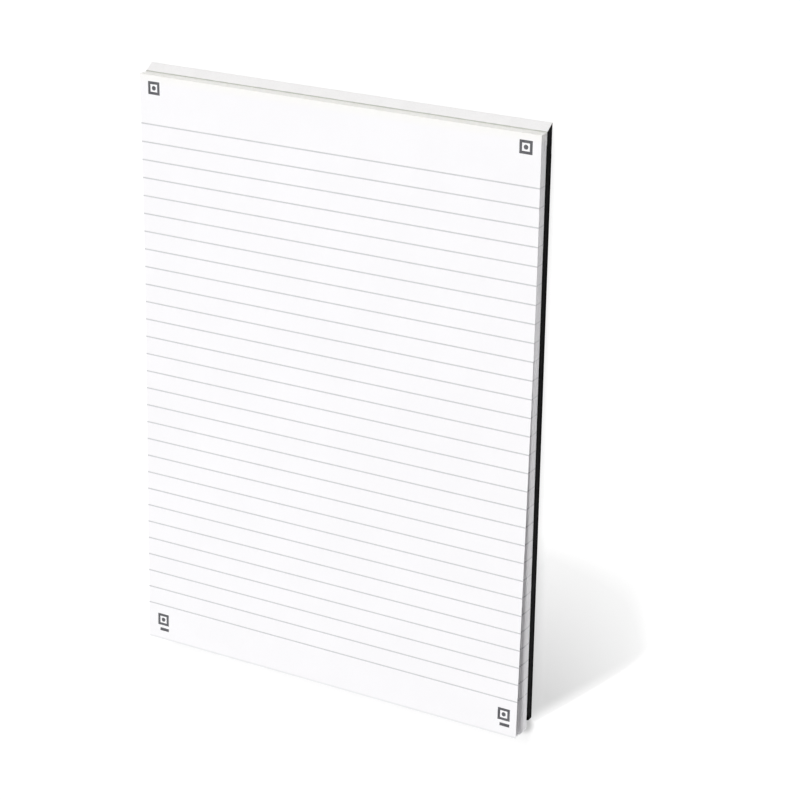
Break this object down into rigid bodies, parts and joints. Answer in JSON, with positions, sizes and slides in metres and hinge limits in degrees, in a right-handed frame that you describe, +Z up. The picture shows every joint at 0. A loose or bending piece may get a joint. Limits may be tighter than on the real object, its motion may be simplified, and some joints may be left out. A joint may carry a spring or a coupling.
{
  "type": "writing pad",
  "caption": "Ruled A4 writing pad glued at the head, with a stack of sheets that fans out at the foot, on a stiff black backing with a pale tape over its head.",
  "frame": {"origin": "middle of the underside, on the plane that the pad lies on", "axes": "+X across the page to the writer's right, +Y towards the bound head, +Z up out of the front sheet"},
  "size_m": [0.21, 0.297, 0.0167],
  "materials": {
    "writing_paper": "smooth uncoated white writing paper",
    "padding_glue": "dried water-based padding glue",
    "binding_paper": "matt pale grey binding paper",
    "black_board": "matt board, black through"
  },
  "bodies": {
    "root": {"sheet_block": "writing_paper", "head_glue": "padding_glue", "head_tape": "binding_paper", "backing_board_upper": "black_board", "backing_board_lower": "black_board"}
  },
  "joints": []
}
